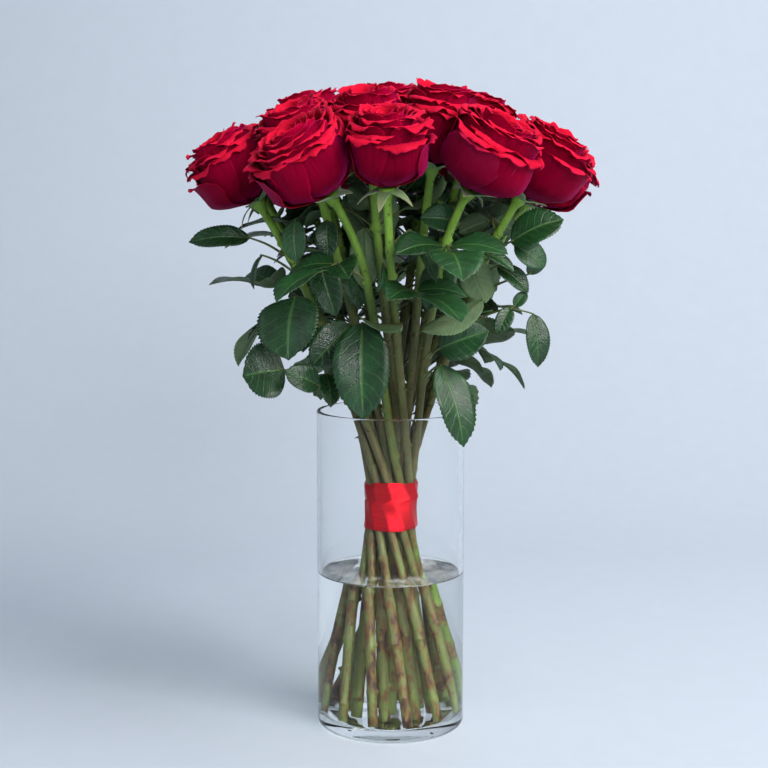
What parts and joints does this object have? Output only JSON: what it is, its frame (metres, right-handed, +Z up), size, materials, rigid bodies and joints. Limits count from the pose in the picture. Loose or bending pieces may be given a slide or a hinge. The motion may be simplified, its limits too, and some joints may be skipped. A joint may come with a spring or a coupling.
{
  "type": "cut rose bouquet in glass cylinder vase",
  "caption": "Bouquet of cut red roses with green leaves, bound with a red satin ribbon, in a clear glass cylinder vase half full of water.",
  "frame": {"origin": "middle of the vase's flat foot, on the surface that it stands on", "axes": "+Z up along the vase's axis, -Y towards the viewer, +X to the viewer's right"},
  "size_m": [0.322, 0.3193, 0.5195],
  "materials": {
    "clear_glass": "clear, polished, with thick floor",
    "clear_water": "clear still water",
    "red_satin": "glossy woven satin ribbon",
    "petal_red": "velvety living petal, deep red",
    "leaf_green": "waxy living leaf and stem, dark green"
  },
  "bodies": {
    "root": {"vase": "clear_glass", "water": "clear_water", "ribbon": "red_satin", "stem_01": "leaf_green", "bloom_01": "petal_red", "stem_02": "leaf_green", "bloom_02": "petal_red", "stem_03": "leaf_green", "bloom_03": "petal_red", "stem_04": "leaf_green", "bloom_04": "petal_red", "stem_05": "leaf_green", "bloom_05": "petal_red", "stem_06": "leaf_green", "bloom_06": "petal_red", "stem_07": "leaf_green", "bloom_07": "petal_red", "stem_08": "leaf_green", "bloom_08": "petal_red", "stem_09": "leaf_green", "bloom_09": "petal_red", "stem_10": "leaf_green", "bloom_10": "petal_red", "stem_11": "leaf_green", "bloom_11": "petal_red", "stem_12": "leaf_green", "bloom_12": "petal_red", "stem_13": "leaf_green", "bloom_13": "petal_red", "stem_14": "leaf_green", "bloom_14": "petal_red", "stem_15": "leaf_green", "bloom_15": "petal_red", "stem_16": "leaf_green", "bloom_16": "petal_red", "stem_17": "leaf_green", "bloom_17": "petal_red", "stem_18": "leaf_green", "bloom_18": "petal_red", "stem_19": "leaf_green", "bloom_19": "petal_red"}
  },
  "joints": []
}
